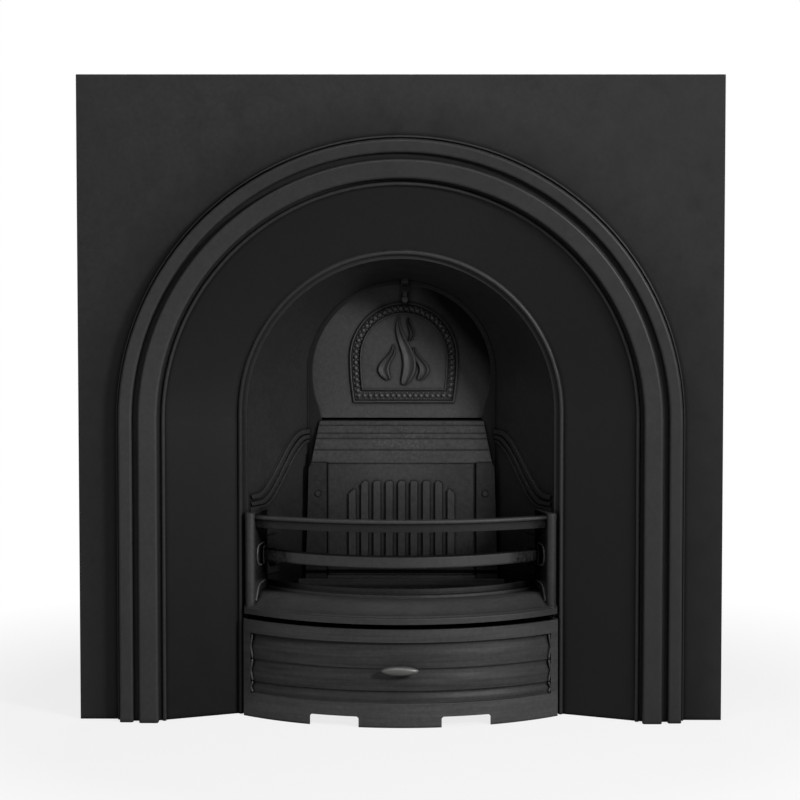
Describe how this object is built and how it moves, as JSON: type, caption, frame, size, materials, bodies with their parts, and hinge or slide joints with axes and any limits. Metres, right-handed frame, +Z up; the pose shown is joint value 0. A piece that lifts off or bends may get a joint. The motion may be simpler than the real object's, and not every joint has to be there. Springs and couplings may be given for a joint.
{
  "type": "cast iron fireplace insert",
  "caption": "Arched cast iron fireplace insert with a stepped arch moulding, a splayed hood with a hinged damper flap, a reeded fireback, a bowed barred fire front and a bowed ash cover.",
  "frame": {"origin": "on the hearth, under the middle of the whole insert", "axes": "+Z up, +Y back into the chimney, +X to the right when facing the insert"},
  "size_m": [0.965, 0.3186, 0.97],
  "materials": {
    "iron": "blacked, satin, with fine casting texture",
    "knob": "worn bright cast knob",
    "fastener": "dull dark steel"
  },
  "bodies": {
    "insert": {"arch_plate": "iron", "hood": "iron", "hood_bolts": "fastener", "hood_washers": "fastener", "hood_nuts": "fastener", "fireback": "iron", "fireback_screws": "fastener", "fireback_nuts": "fastener", "damper_rod": "fastener", "catch_pivot": "fastener", "bar_bracket_left": "iron", "bar_bracket_right": "iron", "bar_bracket_bolts": "fastener", "grate_rest_left": "iron", "grate_rest_right": "iron", "grate_rest_bolts": "fastener"},
    "flap": {"damper_flap": "iron"},
    "catch": {"damper_catch": "iron"},
    "front": {"fire_front": "iron"},
    "grate": {"fire_grate": "iron"},
    "cover": {"ash_cover": "iron", "cover_knob": "knob", "knob_screw": "fastener"}
  },
  "joints": [
    {"name": "flap_hinge", "type": "hinge", "parent": "insert", "child": "flap", "pos_m": [0, 0.12173, 0.412], "axis": [-1, 0, 0], "range_deg": [-10, 35]},
    {"name": "catch_pivot", "type": "hinge", "parent": "insert", "child": "catch", "pos_m": [0.005, 0.09673, 0.6385], "axis": [0, 1, 0], "range_deg": [-80, 80]},
    {"name": "front_lift", "type": "slide", "parent": "insert", "child": "front", "axis": [0, 0, 1], "range_m": [0, 0.12]},
    {"name": "grate_lift", "type": "slide", "parent": "insert", "child": "grate", "axis": [0, 0, 1], "range_m": [0, 0.09]},
    {"name": "cover_pull", "type": "slide", "parent": "insert", "child": "cover", "axis": [0, -1, 0], "range_m": [0, 0.25]}
  ]
}
